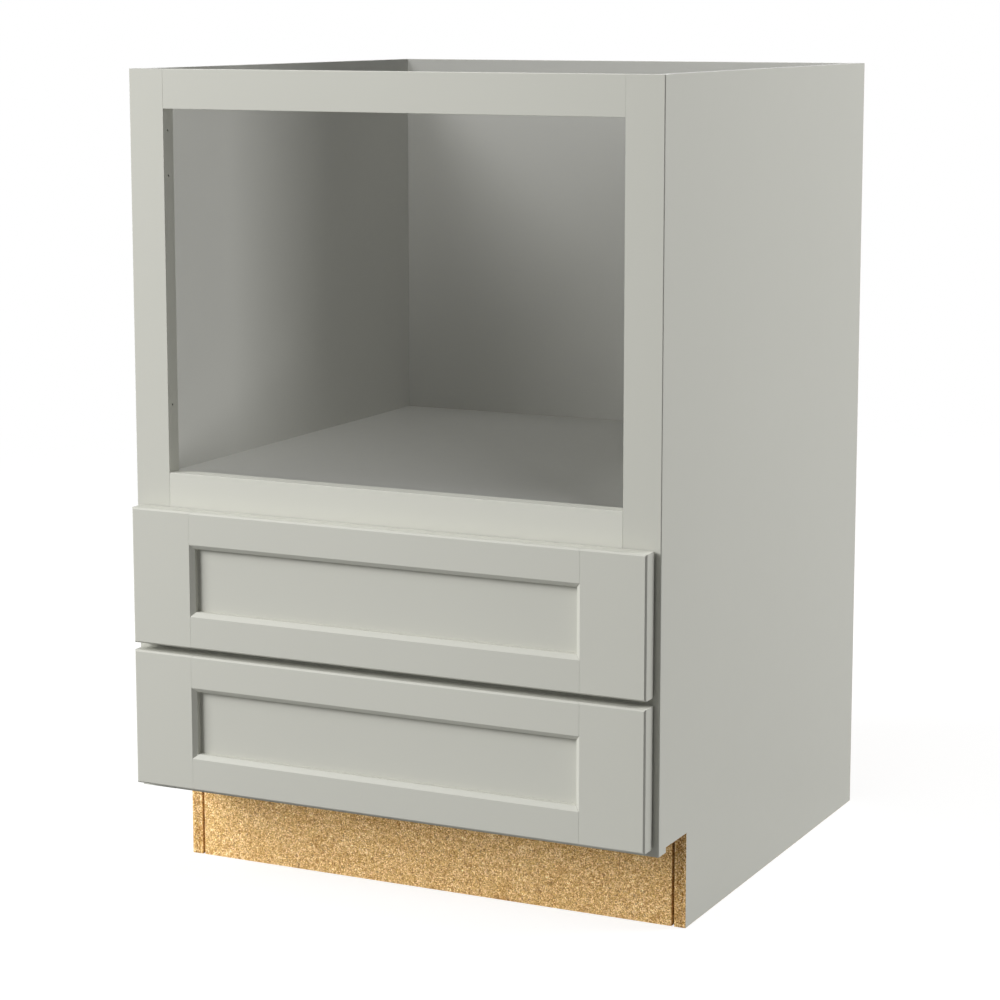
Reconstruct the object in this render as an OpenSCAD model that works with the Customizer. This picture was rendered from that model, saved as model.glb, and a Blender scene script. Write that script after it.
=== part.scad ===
// Framed kitchen base cabinet: an appliance opening over two drawers, open at the top.
// X runs to the viewer's right, the drawers open towards -Y, and the floor is Z = 0.

/* [Cabinet] */
// Width across the face frame
cabinet_w = 609.6; // [500:0.1:760]
// Height from the floor to the rim
cabinet_h = 876.3; // [760:0.1:960]
// Depth from the face of the frame to the rear edges of the sides
cabinet_d = 609.6; // [480:0.1:700]
// Height of the toe space
toe_h = 101.6; // [80:0.1:130]
// Depth of the toe space behind the face of the frame
toe_d = 88.9; // [50:0.1:110]

/* [Face frame] */
// Thickness of the stiles and rails
frame_t = 19.05; // [17:0.05:25]
// Width of the stiles
stile_w = 41.3; // [38:0.1:43.5]
// Height of the rails
rail_h = 41.3; // [34:0.1:48]
// How far the frame stands past the outside of each side panel
frame_overhang = 6.35; // [1:0.05:8]
// Depth of the groove in each stile that takes the side panel
frame_groove_d = 4.8; // [3:0.1:8]
// Length of the stub tenons on the rails
tenon_l = 9.5; // [5:0.1:14]
// Thickness of the stub tenons
tenon_t = 6.35; // [4:0.05:9]
// Shoulder above and below each stub tenon
tenon_shoulder = 4.8; // [2:0.1:10]
// Small chamfer on the outer front edges of the stiles
frame_ease = 0.8; // [0.3:0.1:2]
// Radius of the pilot holes in the inner edges of the stiles
pilot_r = 1.2; // [0.5:0.1:2]
// Depth of the pilot holes
pilot_d = 12; // [6:0.5:18]
// Distance of the pilot holes behind the face of the frame
pilot_y = 8.5; // [5:0.1:12]
// Distance of the highest pilot hole under the top rail
pilot_drop = 22.7; // [12:0.1:60]
// Distance between the two upper pilot holes
pilot_pair = 47.6; // [20:0.1:80]
// Height of the lowest pilot hole above the bottom of the opening
pilot_rise = 72.4; // [20:0.1:120]

/* [Case] */
// Thickness of the side panels
side_t = 12.7; // [12:0.05:18]
// Thickness of the cabinet floor
floor_t = 12.7; // [9:0.05:18]
// Thickness of the appliance deck
deck_t = 12.7; // [9:0.05:18]
// Thickness of the back panel
back_t = 6.35; // [4:0.05:9]
// Depth of the dados and grooves in the side panels
dado_d = 6.35; // [3:0.05:8]
// Drop of the cabinet floor below the top of the bottom rail
floor_drop = 12.7; // [2:0.1:20]
// Drop of the deck below the top of the opening rail
deck_drop = 5.6; // [1:0.1:15]
// Thickness of the hang rails behind the back panel
hang_rail_t = 12.7; // [9:0.05:19]
// Height of the hang rails
hang_rail_h = 76.2; // [60:0.1:110]

/* [Toe kick and braces] */
// Thickness of the toe board
toe_board_t = 12.7; // [9:0.05:18]
// Gap between each end of the toe board and the side panel
toe_board_gap = 2.9; // [1:0.1:6]
// Leg of the triangular glue blocks behind the toe board
toe_block_leg = 38; // [20:1:60]
// Clearance of the glue blocks above the floor
toe_block_lift = 10; // [2:1:30]
// Leg of the triangular corner braces
brace_leg = 88; // [70:1:110]
// Thickness of the corner braces
brace_t = 12.7; // [9:0.05:19]
// Drop of the corner braces below the rim
brace_drop = 6.35; // [3:0.05:12]
// Distance of the worktop screw hole from both walls of its corner
brace_hole_in = 28; // [20:0.5:35]
// Radius of the worktop screw hole
brace_hole_r = 2.5; // [1.5:0.1:4]

/* [Drawer fronts] */
// Height of each drawer front
front_h = 147.6; // [140:0.1:165]
// Thickness of the drawer fronts
front_t = 19.05; // [18:0.05:25]
// Gap between the drawer fronts
front_gap = 7.9; // [3:0.1:12]
// Height of the lower front above the bottom of the frame
lower_reveal = 7.9; // [2:0.1:14]
// Distance from the side of each front to the side of the frame
side_reveal = 6.35; // [4:0.05:14]
// How far each front laps the rail above it
front_lap = 4.6; // [3:0.1:10]
// Gap between the frame and the back of the fronts, filled by the bumpers
front_standoff = 2.5; // [1:0.1:4]
// Flat width of the front's stiles
front_stile_w = 71.4; // [69:0.1:80]
// Flat height of the front's rails
front_rail_h = 34.9; // [28:0.1:42]
// Width of the bevel round the panel
bevel_w = 4.8; // [3:0.1:7]
// Depth of the bevel round the panel
bevel_d = 4.2; // [2:0.1:7]
// Depth of the panel's face behind the front's face
panel_recess = 10; // [8:0.1:11]
// Thickness of the front's panel
panel_t = 6.35; // [4:0.05:6.9]
// Depth of the panel grooves
panel_groove_d = 6.4; // [4:0.1:8]
// Room left for the panel to swell in its grooves
panel_float = 0.8; // [0.2:0.1:2]
// Chamfer along the outer edges of the fronts
front_chamfer = 1.8; // [0.5:0.1:3]

/* [Drawer boxes] */
// Height of the drawer boxes
box_h = 88.9; // [76:0.1:94]
// Thickness of the box sides, front and back
box_t = 12.7; // [11:0.05:15]
// Height of the box above the bottom of its drawer front
box_rise = 44; // [42:0.1:49]
// Thickness of the box bottom
box_bottom_t = 6.35; // [4:0.05:9]
// Height of the bottom panel above the lower edge of the box
box_bottom_lift = 9.5; // [6:0.1:13]
// Depth of the grooves for the box bottom
box_groove_d = 6.35; // [3:0.05:8]
// Number of dovetails on each corner
tail_count = 4; // [2:1:5]
// Width of a dovetail at the end of the side
tail_wide = 15; // [12:0.5:17]
// Slope of the dovetails, as the width lost on each flank
tail_slope = 1.8; // [0.5:0.1:3]

/* [Drawer slides] */
// Room between the rear ends of the slides and the back panel
slide_room = 55.15; // [45:0.05:90]
// How much shorter the middle member is
middle_shorter = 33.4; // [20:0.1:60]
// How much shorter the inner member is
inner_shorter = 8.4; // [4:0.1:20]
// Room that each slide takes between the box and the frame opening
slide_t = 12.7; // [12.4:0.05:13.2]
// Thickness of the slides' sheet steel
slide_sheet = 1.2; // [1:0.05:1.25]
// Height of the slides' centre line above the bottom of the box
slide_rise = 38; // [30:0.5:45]
// Distance of the outer member behind the face of the frame
slide_setback = 2; // [1:0.5:4]
// Distance from the outer member's web to the centres of the outer balls
outer_ball_u = 6.2; // [6.15:0.01:6.25]
// Distance from the outer member's web to the centres of the inner balls
inner_ball_u = 8.2; // [8.15:0.01:8.3]
// Height of the outer balls above the slide's centre line
outer_ball_v = 19.2; // [18:0.1:20.5]
// Radius of the balls between the outer and middle members
outer_ball_r = 2.15; // [2.05:0.01:2.2]
// Radius of the balls between the middle and inner members
inner_ball_r = 1.9; // [1.8:0.01:1.95]
// Running clearance of the balls in their races
race_gap = 0.1; // [0.05:0.01:0.12]
// Length of a ball cage
cage_l = 200; // [150:1:230]
// Thickness of the cage's sheet
cage_t = 0.6; // [0.4:0.05:0.65]
// Gap between a cage and the race above it
cage_clear = 0.3; // [0.2:0.05:0.5]
// Play of a ball in the notch of its cage
notch_play = 0.1; // [0.05:0.05:0.2]
// Balls in each row of a cage
balls_in_row = 5; // [3:1:8]

/* [Slide brackets and screws] */
// Wall of the rear slide brackets
bracket_wall = 2; // [1.5:0.1:3]
// Length of a slide held by its rear bracket
bracket_grip = 40; // [20:1:60]
// Gap between a bracket's foot and the side panel
bracket_gap = 2; // [0.5:0.1:4]
// Radius of the wood screws' shanks
screw_r = 1.7; // [1.3:0.1:2]
// Radius of the wood screws' heads
screw_head_r = 3.4; // [3:0.1:3.6]
// Thickness of the wood screws' heads
screw_head_t = 1.6; // [1:0.1:2]
// Length of the screws that hold the inner members to the box
box_screw_l = 10; // [8:0.5:11]
// Distance of the first and last of them from the ends of the inner member
box_screw_in = 45; // [20:1:90]
// Length of the screws that hold the outer members to the stiles
stile_screw_l = 14; // [8:0.5:18]
// Distance of each bracket's two screws above and below its middle
bracket_screw_v = 12; // [6:0.5:16]
// Wood left past the ends of the bracket screws
bracket_screw_cover = 1; // [0.5:0.1:2]
// Radius of the drawer front screws
front_screw_r = 1.9; // [1.5:0.1:2]
// How far the drawer front screws go into the front
front_screw_bite = 12; // [8:0.5:14]
// Wood left between a drawer front screw and the panel groove
front_screw_cover = 1; // [0.5:0.1:2]
// Distance of the drawer front screws from the top of the box and from its bottom panel
front_screw_in = 14; // [8:0.5:20]
// Radius of the bumper pads
bumper_r = 5; // [3:0.5:8]
// Gap between the bumper pads and the frame when the drawer is shut
bumper_gap = 0.1; // [0.05:0.05:0.3]
// Distance of the bumper pads from the edges of the front
bumper_in = 15; // [12:0.5:24]

/* [Hidden] */
$fn = 48;
LEFT = -1;
RIGHT = 1;
PAINT = [0.77, 0.77, 0.74];
RAW_BOARD = [0.80, 0.64, 0.44];
BOX_WOOD = [0.85, 0.74, 0.56];
STEEL = [0.72, 0.73, 0.75];
PLASTIC = [0.93, 0.93, 0.90];
// Overshoot of a cut past the face that it opens
cut = 1;

// Half widths, from the centre plane
half_w = cabinet_w / 2;
case_half = half_w - frame_overhang;
inner_half = case_half - side_t;
opening_half = half_w - stile_w;
front_half = half_w - side_reveal;
box_half = opening_half - slide_t;

// Heights
lower_z = toe_h + lower_reveal;
upper_z = lower_z + front_h + front_gap;
drawer_rail_z = lower_z + front_h - front_lap;
opening_rail_z = upper_z + front_h - front_lap;
opening_z = opening_rail_z + rail_h;
top_rail_z = cabinet_h - rail_h;
rail_zs = [toe_h, drawer_rail_z, opening_rail_z, top_rail_z];
floor_z = toe_h + rail_h - floor_drop - floor_t;
deck_z = opening_z - deck_drop - deck_t;
pilot_zs = [
  top_rail_z - pilot_drop,
  top_rail_z - pilot_drop - pilot_pair,
  opening_z + pilot_rise,
];

// Depths, from the face of the frame
side_front_y = frame_t - frame_groove_d;
back_y = cabinet_d - hang_rail_t - back_t;
front_back_y = -front_standoff;
front_face_y = front_back_y - front_t;

// The slides take the depth that the case leaves, and the drawer boxes are as long as the slides
slide_l = back_y - slide_setback - slide_room;
box_end_y = front_back_y + slide_l;

// The drawer front's moulding
front_wall = front_half - front_stile_w - bevel_w;
panel_y = front_face_y + panel_recess;

// The slide's section: u runs from the frame opening towards the box, v is up from the centre line
outer_race_r = outer_ball_r + race_gap;
inner_race_r = inner_ball_r + race_gap;
inner_ball_v = outer_ball_v - outer_race_r - slide_sheet - inner_race_r;
outer_top_v = outer_ball_v + outer_race_r + slide_sheet;
middle_web_u = outer_ball_u - outer_race_r - slide_sheet;
inner_race_u = inner_ball_u - inner_race_r - slide_sheet;
outer_cage_u = (slide_sheet + middle_web_u - cage_t) / 2;
inner_cage_u = (middle_web_u + slide_sheet + inner_race_u - cage_t) / 2;

// Degrees by which each race reaches past square round its balls
outer_wrap = 20;
middle_outer_wrap = 5;
middle_inner_wrap = 15;
inner_wrap = 15;

// The slide's lengths: the middle member is centred on the outer one, and the cages on the middle one
middle_l = slide_l - middle_shorter;
inner_l = slide_l - inner_shorter;
outer_end_y = slide_setback + slide_l;
middle_y = slide_setback + middle_shorter / 2;
cage_y = middle_y + (middle_l - cage_l) / 2;
box_screw_ys = [box_screw_in, inner_l / 2, inner_l - box_screw_in];

// The whole model is centred on its own depth
model_y = -(cabinet_d + front_face_y) / 2;

module place(side = RIGHT) {
  translate([0, model_y, 0]) mirror([side == LEFT ? 1 : 0, 0, 0]) children();
}

module both_sides() {
  place(LEFT) children();
  place(RIGHT) children();
}

// What is cut or drawn on both sides of the centre plane
module mirrored() {
  children();
  mirror([1, 0, 0]) children();
}

// A board between two corners
module board(low, high) {
  translate(low) cube(high - low);
}

// A profile drawn as [x, z], carried along Y
module along_y(y0, y1) {
  translate([0, y1, 0]) rotate([90, 0, 0]) linear_extrude(y1 - y0) children();
}

// A profile drawn as [y, z], carried along X
module along_x(x0, x1) {
  translate([x0, 0, 0]) rotate([90, 0, 90]) linear_extrude(x1 - x0) children();
}

// A round bar from a point, along +X or +Y
module bar_x(p, r, l) {
  translate(p) rotate([0, 90, 0]) cylinder(h = l, r = r);
}

module bar_y(p, r, l) {
  translate(p) rotate([-90, 0, 0]) cylinder(h = l, r = r);
}

// Case

// The right side panel: toe notch, dados for the floor and the deck, groove for the back
module side_panel() {
  color(PAINT) difference() {
    along_x(inner_half, case_half) polygon([
      [side_front_y, toe_h], [toe_d, toe_h], [toe_d, 0],
      [cabinet_d, 0], [cabinet_d, cabinet_h], [side_front_y, cabinet_h],
    ]);
    for (shelf = [[floor_z, floor_t], [deck_z, deck_t]])
      board([inner_half - cut, side_front_y - cut, shelf[0]],
            [inner_half + dado_d, back_y, shelf[0] + shelf[1]]);
    board([inner_half - cut, back_y, -cut], [inner_half + dado_d, back_y + back_t, cabinet_h + cut]);
  }
}

// The cabinet floor or the appliance deck, between the dados, the frame and the back
module shelf_board(z, t) {
  reach = inner_half + dado_d;
  color(PAINT) board([-reach, frame_t, z], [reach, back_y, z + t]);
}

module back_panel() {
  reach = inner_half + dado_d;
  color(PAINT) difference() {
    board([-reach, back_y, floor_z], [reach, back_y + back_t, cabinet_h]);
    for (front_z = [lower_z, upper_z]) mirrored() bracket_screws(front_z);
  }
}

module hang_rail(z) {
  color(RAW_BOARD)
    board([-inner_half, back_y + back_t, z], [inner_half, cabinet_d, z + hang_rail_h]);
}

module toe_kick_board() {
  reach = inner_half - toe_board_gap;
  color(RAW_BOARD) board([-reach, toe_d, 0], [reach, toe_d + toe_board_t, floor_z]);
}

// A triangle in the right front corner of the case, with its square corner at the given y
module corner_triangle(y, leg) {
  polygon([[inner_half, y], [inner_half, y + leg], [inner_half - leg, y]]);
}

// A glue block behind the right end of the toe board
module toe_block() {
  color(RAW_BOARD) translate([0, 0, toe_block_lift]) linear_extrude(floor_z - toe_block_lift)
    corner_triangle(toe_d + toe_board_t, toe_block_leg);
}

// A brace in the right front corner, with the hole for a worktop screw
module corner_brace() {
  z = cabinet_h - brace_drop - brace_t;
  color(RAW_BOARD) difference() {
    translate([0, 0, z]) linear_extrude(brace_t) corner_triangle(frame_t, brace_leg);
    translate([inner_half - brace_hole_in, frame_t + brace_hole_in, z - cut])
      cylinder(h = brace_t + 2 * cut, r = brace_hole_r);
  }
}

// Face frame

module rail(z) {
  color(PAINT) union() {
    board([-opening_half, 0, z], [opening_half, frame_t, z + rail_h]);
    rail_tenons(z);
  }
}

module rail_tenons(z) {
  reach = opening_half + tenon_l;
  board([-reach, (frame_t - tenon_t) / 2, z + tenon_shoulder],
        [reach, (frame_t + tenon_t) / 2, z + rail_h - tenon_shoulder]);
}

// The right stile: mortises, groove for the side panel, pilot holes, slide screws
module stile() {
  color(PAINT) difference() {
    translate([0, 0, toe_h]) linear_extrude(cabinet_h - toe_h) polygon([
      [opening_half, 0], [half_w - frame_ease, 0], [half_w, frame_ease],
      [half_w, frame_t], [opening_half, frame_t],
    ]);
    for (z = rail_zs) rail_tenons(z);
    board([inner_half, side_front_y, toe_h - cut], [case_half, frame_t + cut, cabinet_h + cut]);
    for (z = pilot_zs) bar_x([opening_half - cut, pilot_y, z], pilot_r, pilot_d + cut);
    for (front_z = [lower_z, upper_z]) stile_screw(front_z);
  }
}

// Drawer fronts: front_z is the height of the front's lower edge

// The outer shape of a front, chamfered all round
module front_blank(front_z) {
  top = front_z + front_h;
  face = front_face_y;
  intersection() {
    translate([0, 0, front_z]) linear_extrude(front_h) polygon([
      [-front_half, face + front_chamfer], [-front_half + front_chamfer, face],
      [front_half - front_chamfer, face], [front_half, face + front_chamfer],
      [front_half, front_back_y], [-front_half, front_back_y],
    ]);
    along_x(-front_half - cut, front_half + cut) polygon([
      [face + front_chamfer, front_z], [face, front_z + front_chamfer],
      [face, top - front_chamfer], [face + front_chamfer, top],
      [front_back_y, top], [front_back_y, front_z],
    ]);
  }
}

// Section of a front's frame member: x runs inwards from its outer edge, w is its flat width
function member_section(w) = [
  [0, front_face_y - cut], [w, front_face_y - cut], [w, front_face_y],
  [w + bevel_w, front_face_y + bevel_d], [w + bevel_w, panel_y],
  [w + bevel_w - panel_groove_d, panel_y], [w + bevel_w - panel_groove_d, panel_y + panel_t],
  [w + bevel_w, panel_y + panel_t], [w + bevel_w, front_back_y + cut], [0, front_back_y + cut],
];

// The right stile of a front as far as its moulding, without its screw holes
module moulded_stile(front_z) {
  intersection() {
    front_blank(front_z);
    translate([front_half, 0, front_z - cut]) mirror([1, 0, 0])
      linear_extrude(front_h + 2 * cut) polygon(member_section(front_stile_w));
  }
}

module front_stile(front_z) {
  color(PAINT) difference() {
    moulded_stile(front_z);
    front_screws(front_z);
  }
}

// A rail of a front, coped over the stiles' bevels, with a tongue in each stile's groove
module front_rail(front_z, top = false) {
  reach = front_wall + panel_groove_d;
  section = [for (p = member_section(front_rail_h)) [p[1], p[0]]];
  color(PAINT) difference() {
    intersection() {
      front_blank(front_z);
      translate([0, 0, top ? front_z + front_h : front_z]) mirror([0, 0, top ? 1 : 0])
        along_x(-reach, reach) polygon(section);
    }
    mirrored() moulded_stile(front_z);
  }
}

module front_panel(front_z) {
  spread = panel_groove_d - panel_float;
  x = front_wall + spread;
  rail_edge = front_rail_h + bevel_w - spread;
  color(PAINT) board([-x, panel_y, front_z + rail_edge],
                     [x, panel_y + panel_t, front_z + front_h - rail_edge]);
}

// Drawer boxes

function box_z(front_z) = front_z + box_rise;
function slide_z(front_z) = box_z(front_z) + slide_rise;

// Outline of the dovetails at one end of a box side, as [y, z]; way is 1 going up it and -1 going down
function tails(front_z, end_y, root_y, way) = [
  for (i = [0:tail_count - 1])
    let (
      z = box_z(front_z) + box_h * (0.5 + way * ((i + 0.5) / tail_count - 0.5)),
      wide = way * tail_wide / 2,
      narrow = wide - way * tail_slope
    )
    each [[root_y, z - narrow], [end_y, z - wide], [end_y, z + wide], [root_y, z + narrow]]
];

// The right side of a box with its dovetails, before its groove and its screw holes
module dovetailed_side(front_z) {
  low = box_z(front_z);
  high = low + box_h;
  front_root = front_back_y + box_t;
  back_root = box_end_y - box_t;
  along_x(box_half - box_t, box_half) polygon(concat(
    [[front_root, low]], tails(front_z, front_back_y, front_root, 1), [[front_root, high]],
    [[back_root, high]], tails(front_z, box_end_y, back_root, -1), [[back_root, low]]
  ));
}

module box_bottom(front_z) {
  x = box_half - box_t + box_groove_d;
  end = box_t - box_groove_d;
  z = box_z(front_z) + box_bottom_lift;
  color(BOX_WOOD)
    board([-x, front_back_y + end, z], [x, box_end_y - end, z + box_bottom_t]);
}

module box_side(front_z) {
  color(BOX_WOOD) difference() {
    dovetailed_side(front_z);
    box_bottom(front_z);
    slide_screws(front_z);
  }
}

// The front or back board of a box from y on, with the pins that the sides' dovetails leave
module box_end(front_z, y) {
  z = box_z(front_z);
  color(BOX_WOOD) difference() {
    board([-box_half, y, z], [box_half, y + box_t, z + box_h]);
    mirrored() {
      dovetailed_side(front_z);
      front_screws(front_z);
    }
    box_bottom(front_z);
  }
}

// A screw through the front of the box into the right stile of the drawer front, at top and bottom
module front_screws(front_z) {
  x = front_wall + panel_groove_d + front_screw_cover + front_screw_r;
  panel_top = box_bottom_lift + box_bottom_t;
  color(STEEL) for (rise = [panel_top + front_screw_in, box_h - front_screw_in]) {
    z = box_z(front_z) + rise;
    bar_y([x, front_back_y - front_screw_bite, z], front_screw_r, front_screw_bite + box_t);
    bar_y([x, front_back_y + box_t, z], screw_head_r, screw_head_t);
  }
}

// The bumper pads at the right end of a front
module bumpers(front_z) {
  color(PLASTIC) for (z = [front_z + bumper_in, front_z + front_h - bumper_in])
    bar_y([front_half - bumper_in, front_back_y, z], bumper_r, front_standoff - bumper_gap);
}

// Drawer slides, drawn for the right side of a drawer

// A stretch of raceway round a ball, between two angles
module race(c, r, a0, a1) {
  reach = 3 * (r + slide_sheet);
  translate(c) intersection() {
    difference() {
      circle(r + slide_sheet);
      circle(r);
    }
    polygon([[0, 0], for (a = [a0, (a0 + a1) / 2, a1]) reach * [cos(a), sin(a)]]);
  }
}

module both_edges() {
  children();
  mirror([0, 1]) children();
}

module outer_section() {
  translate([0, -outer_top_v]) square([slide_sheet, 2 * outer_top_v]);
  both_edges() {
    translate([0, outer_top_v - slide_sheet]) square([outer_ball_u, slide_sheet]);
    race([outer_ball_u, outer_ball_v], outer_race_r, -outer_wrap, 90);
  }
}

module middle_section() {
  translate([middle_web_u, -outer_ball_v]) square([slide_sheet, 2 * outer_ball_v]);
  both_edges() {
    race([outer_ball_u, outer_ball_v], outer_race_r, 180 - middle_outer_wrap, 270);
    translate([outer_ball_u, inner_ball_v + inner_race_r])
      square([inner_ball_u - outer_ball_u, slide_sheet]);
    race([inner_ball_u, inner_ball_v], inner_race_r, -middle_inner_wrap, 90);
  }
}

module inner_section() {
  edge_v = inner_ball_v - inner_race_r;
  translate([slide_t - slide_sheet, -edge_v]) square([slide_sheet, 2 * edge_v]);
  both_edges() {
    translate([inner_ball_u, edge_v - slide_sheet]) square([slide_t - inner_ball_u, slide_sheet]);
    race([inner_ball_u, inner_ball_v], inner_race_r, 180 - inner_wrap, 270);
  }
}

// A cage's section: a web between the members, and at each edge a shelf that carries the balls
module cage_section(web_u, ball_u, shelf_v) {
  translate([web_u, -shelf_v]) square([cage_t, 2 * shelf_v]);
  both_edges() translate([web_u, shelf_v - cage_t]) square([ball_u - web_u, cage_t]);
}

// Puts a section drawn as [u, v] on the right slide of a drawer
module on_slide(front_z, y0, y1) {
  along_y(y0, y1) translate([opening_half, slide_z(front_z)]) mirror([1, 0]) children();
}

module ball_rows(front_z, u, v, r) {
  pitch = cage_l / balls_in_row;
  for (i = [0:balls_in_row - 1], edge = [-1, 1])
    translate([opening_half - u, cage_y + (i + 0.5) * pitch, slide_z(front_z) + edge * v]) sphere(r = r);
}

module outer_slide(front_z) {
  color(STEEL) difference() {
    on_slide(front_z, slide_setback, outer_end_y) outer_section();
    stile_screw(front_z);
  }
}

module middle_slide(front_z) {
  color(STEEL) on_slide(front_z, middle_y, middle_y + middle_l) middle_section();
}

module inner_slide(front_z) {
  color(STEEL) difference() {
    on_slide(front_z, 0, inner_l) inner_section();
    slide_screws(front_z);
  }
}

// A cage with its two rows of loose balls
module ball_cage(front_z, web_u, u, v, r, shelf_v) {
  color(STEEL) {
    difference() {
      on_slide(front_z, cage_y, cage_y + cage_l) cage_section(web_u, u, shelf_v);
      ball_rows(front_z, u, v, r + notch_play);
    }
    ball_rows(front_z, u, v, r);
  }
}

module outer_ball_cage(front_z) {
  ball_cage(front_z, outer_cage_u, outer_ball_u, outer_ball_v, outer_ball_r,
            outer_ball_v + outer_race_r - cage_clear);
}

module inner_ball_cage(front_z) {
  ball_cage(front_z, inner_cage_u, inner_ball_u, inner_ball_v, inner_ball_r,
            inner_ball_v + inner_race_r - cage_clear);
}

// Screws that hold the inner member to the box
module slide_screws(front_z) {
  color(STEEL) for (y = box_screw_ys) {
    bar_x([box_half + slide_sheet - box_screw_l, y, slide_z(front_z)], screw_r, box_screw_l);
    bar_x([box_half + slide_sheet, y, slide_z(front_z)], screw_head_r, screw_head_t);
  }
}

// The screw that holds the outer member to the stile, with its head flush in the member's web
module stile_screw(front_z) {
  color(STEEL) {
    bar_x([opening_half - slide_sheet, frame_t / 2, slide_z(front_z)], screw_head_r, slide_sheet);
    bar_x([opening_half, frame_t / 2, slide_z(front_z)], screw_r, stile_screw_l - slide_sheet);
  }
}

// The rear bracket: a sleeve round the outer member, an arm, and a foot on the back panel
module rear_bracket(front_z) {
  z = slide_z(front_z);
  high = outer_top_v + bracket_wall;
  sleeve_y = outer_end_y - bracket_grip;
  color(PLASTIC) difference() {
    union() {
      board([opening_half, sleeve_y, z - high], [opening_half + bracket_wall, back_y, z + high]);
      for (low = [z - high, z + outer_top_v])
        board([opening_half - outer_ball_u, sleeve_y, low],
              [opening_half + bracket_wall, outer_end_y, low + bracket_wall]);
      board([opening_half, back_y - bracket_wall, z - high], [inner_half - bracket_gap, back_y, z + high]);
    }
    bracket_screws(front_z);
  }
}

// The two screws of a rear bracket, in the middle of its foot
module bracket_screws(front_z) {
  x = (opening_half + bracket_wall + inner_half - bracket_gap) / 2;
  foot_y = back_y - bracket_wall;
  color(STEEL) for (side = [-1, 1]) {
    z = slide_z(front_z) + side * bracket_screw_v;
    bar_y([x, foot_y - screw_head_t, z], screw_head_r, screw_head_t);
    bar_y([x, foot_y, z], screw_r, bracket_wall + back_t - bracket_screw_cover);
  }
}

place(LEFT) side_panel();  // side_panel_left
place() side_panel();  // side_panel_right
place() back_panel();
place() hang_rail(cabinet_h - hang_rail_h);  // hang_rail_top
place() hang_rail(floor_z);  // hang_rail_bottom
place() shelf_board(floor_z, floor_t);  // cabinet_floor
place() shelf_board(deck_z, deck_t);  // appliance_deck
place() toe_kick_board();
both_sides() toe_block();  // toe_blocks
both_sides() corner_brace();  // corner_braces

place(LEFT) stile();  // stile_left
place() stile();  // stile_right
place() rail(top_rail_z);  // top_rail
place() rail(opening_rail_z);  // opening_rail
place() rail(drawer_rail_z);  // drawer_rail
place() rail(toe_h);  // bottom_rail

place(LEFT) outer_slide(upper_z);  // upper_left_outer_slide
place() outer_slide(upper_z);  // upper_right_outer_slide
place(LEFT) outer_slide(lower_z);  // lower_left_outer_slide
place() outer_slide(lower_z);  // lower_right_outer_slide
place(LEFT) middle_slide(upper_z);  // upper_left_middle_slide
place() middle_slide(upper_z);  // upper_right_middle_slide
place(LEFT) middle_slide(lower_z);  // lower_left_middle_slide
place() middle_slide(lower_z);  // lower_right_middle_slide
both_sides() outer_ball_cage(upper_z);  // upper_outer_ball_cages
both_sides() inner_ball_cage(upper_z);  // upper_inner_ball_cages
both_sides() outer_ball_cage(lower_z);  // lower_outer_ball_cages
both_sides() inner_ball_cage(lower_z);  // lower_inner_ball_cages
both_sides() {  // rear_slide_brackets
  rear_bracket(upper_z);
  rear_bracket(lower_z);
}
both_sides() {  // slide_mount_screws
  for (front_z = [lower_z, upper_z]) {
    stile_screw(front_z);
    bracket_screws(front_z);
  }
}

place(LEFT) front_stile(upper_z);  // upper_front_stile_left
place() front_stile(upper_z);  // upper_front_stile_right
place() front_rail(upper_z, top = true);  // upper_front_rail_top
place() front_rail(upper_z);  // upper_front_rail_bottom
place() front_panel(upper_z);  // upper_front_panel
place() box_end(upper_z, front_back_y);  // upper_box_front
place() box_end(upper_z, box_end_y - box_t);  // upper_box_back
place(LEFT) box_side(upper_z);  // upper_box_side_left
place() box_side(upper_z);  // upper_box_side_right
place() box_bottom(upper_z);  // upper_box_bottom
place(LEFT) inner_slide(upper_z);  // upper_left_inner_slide
place() inner_slide(upper_z);  // upper_right_inner_slide
both_sides() front_screws(upper_z);  // upper_front_screws
both_sides() slide_screws(upper_z);  // upper_slide_screws
both_sides() bumpers(upper_z);  // upper_bumpers

place(LEFT) front_stile(lower_z);  // lower_front_stile_left
place() front_stile(lower_z);  // lower_front_stile_right
place() front_rail(lower_z, top = true);  // lower_front_rail_top
place() front_rail(lower_z);  // lower_front_rail_bottom
place() front_panel(lower_z);  // lower_front_panel
place() box_end(lower_z, front_back_y);  // lower_box_front
place() box_end(lower_z, box_end_y - box_t);  // lower_box_back
place(LEFT) box_side(lower_z);  // lower_box_side_left
place() box_side(lower_z);  // lower_box_side_right
place() box_bottom(lower_z);  // lower_box_bottom
place(LEFT) inner_slide(lower_z);  // lower_left_inner_slide
place() inner_slide(lower_z);  // lower_right_inner_slide
both_sides() front_screws(lower_z);  // lower_front_screws
both_sides() slide_screws(lower_z);  // lower_slide_screws
both_sides() bumpers(lower_z);  // lower_bumpers
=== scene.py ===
"""Looks of a framed kitchen base cabinet: finishes, eased edges, small fasteners, light and camera.

Every carried-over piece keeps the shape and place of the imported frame. Lengths are in metres, X runs to the
viewer's right, the drawers open towards -Y, and the floor is Z = 0. Some softboxes shine on named pieces
alone, because the inner faces, the toe space and a few edges need light of their own to show their tones.
"""
import math

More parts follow.
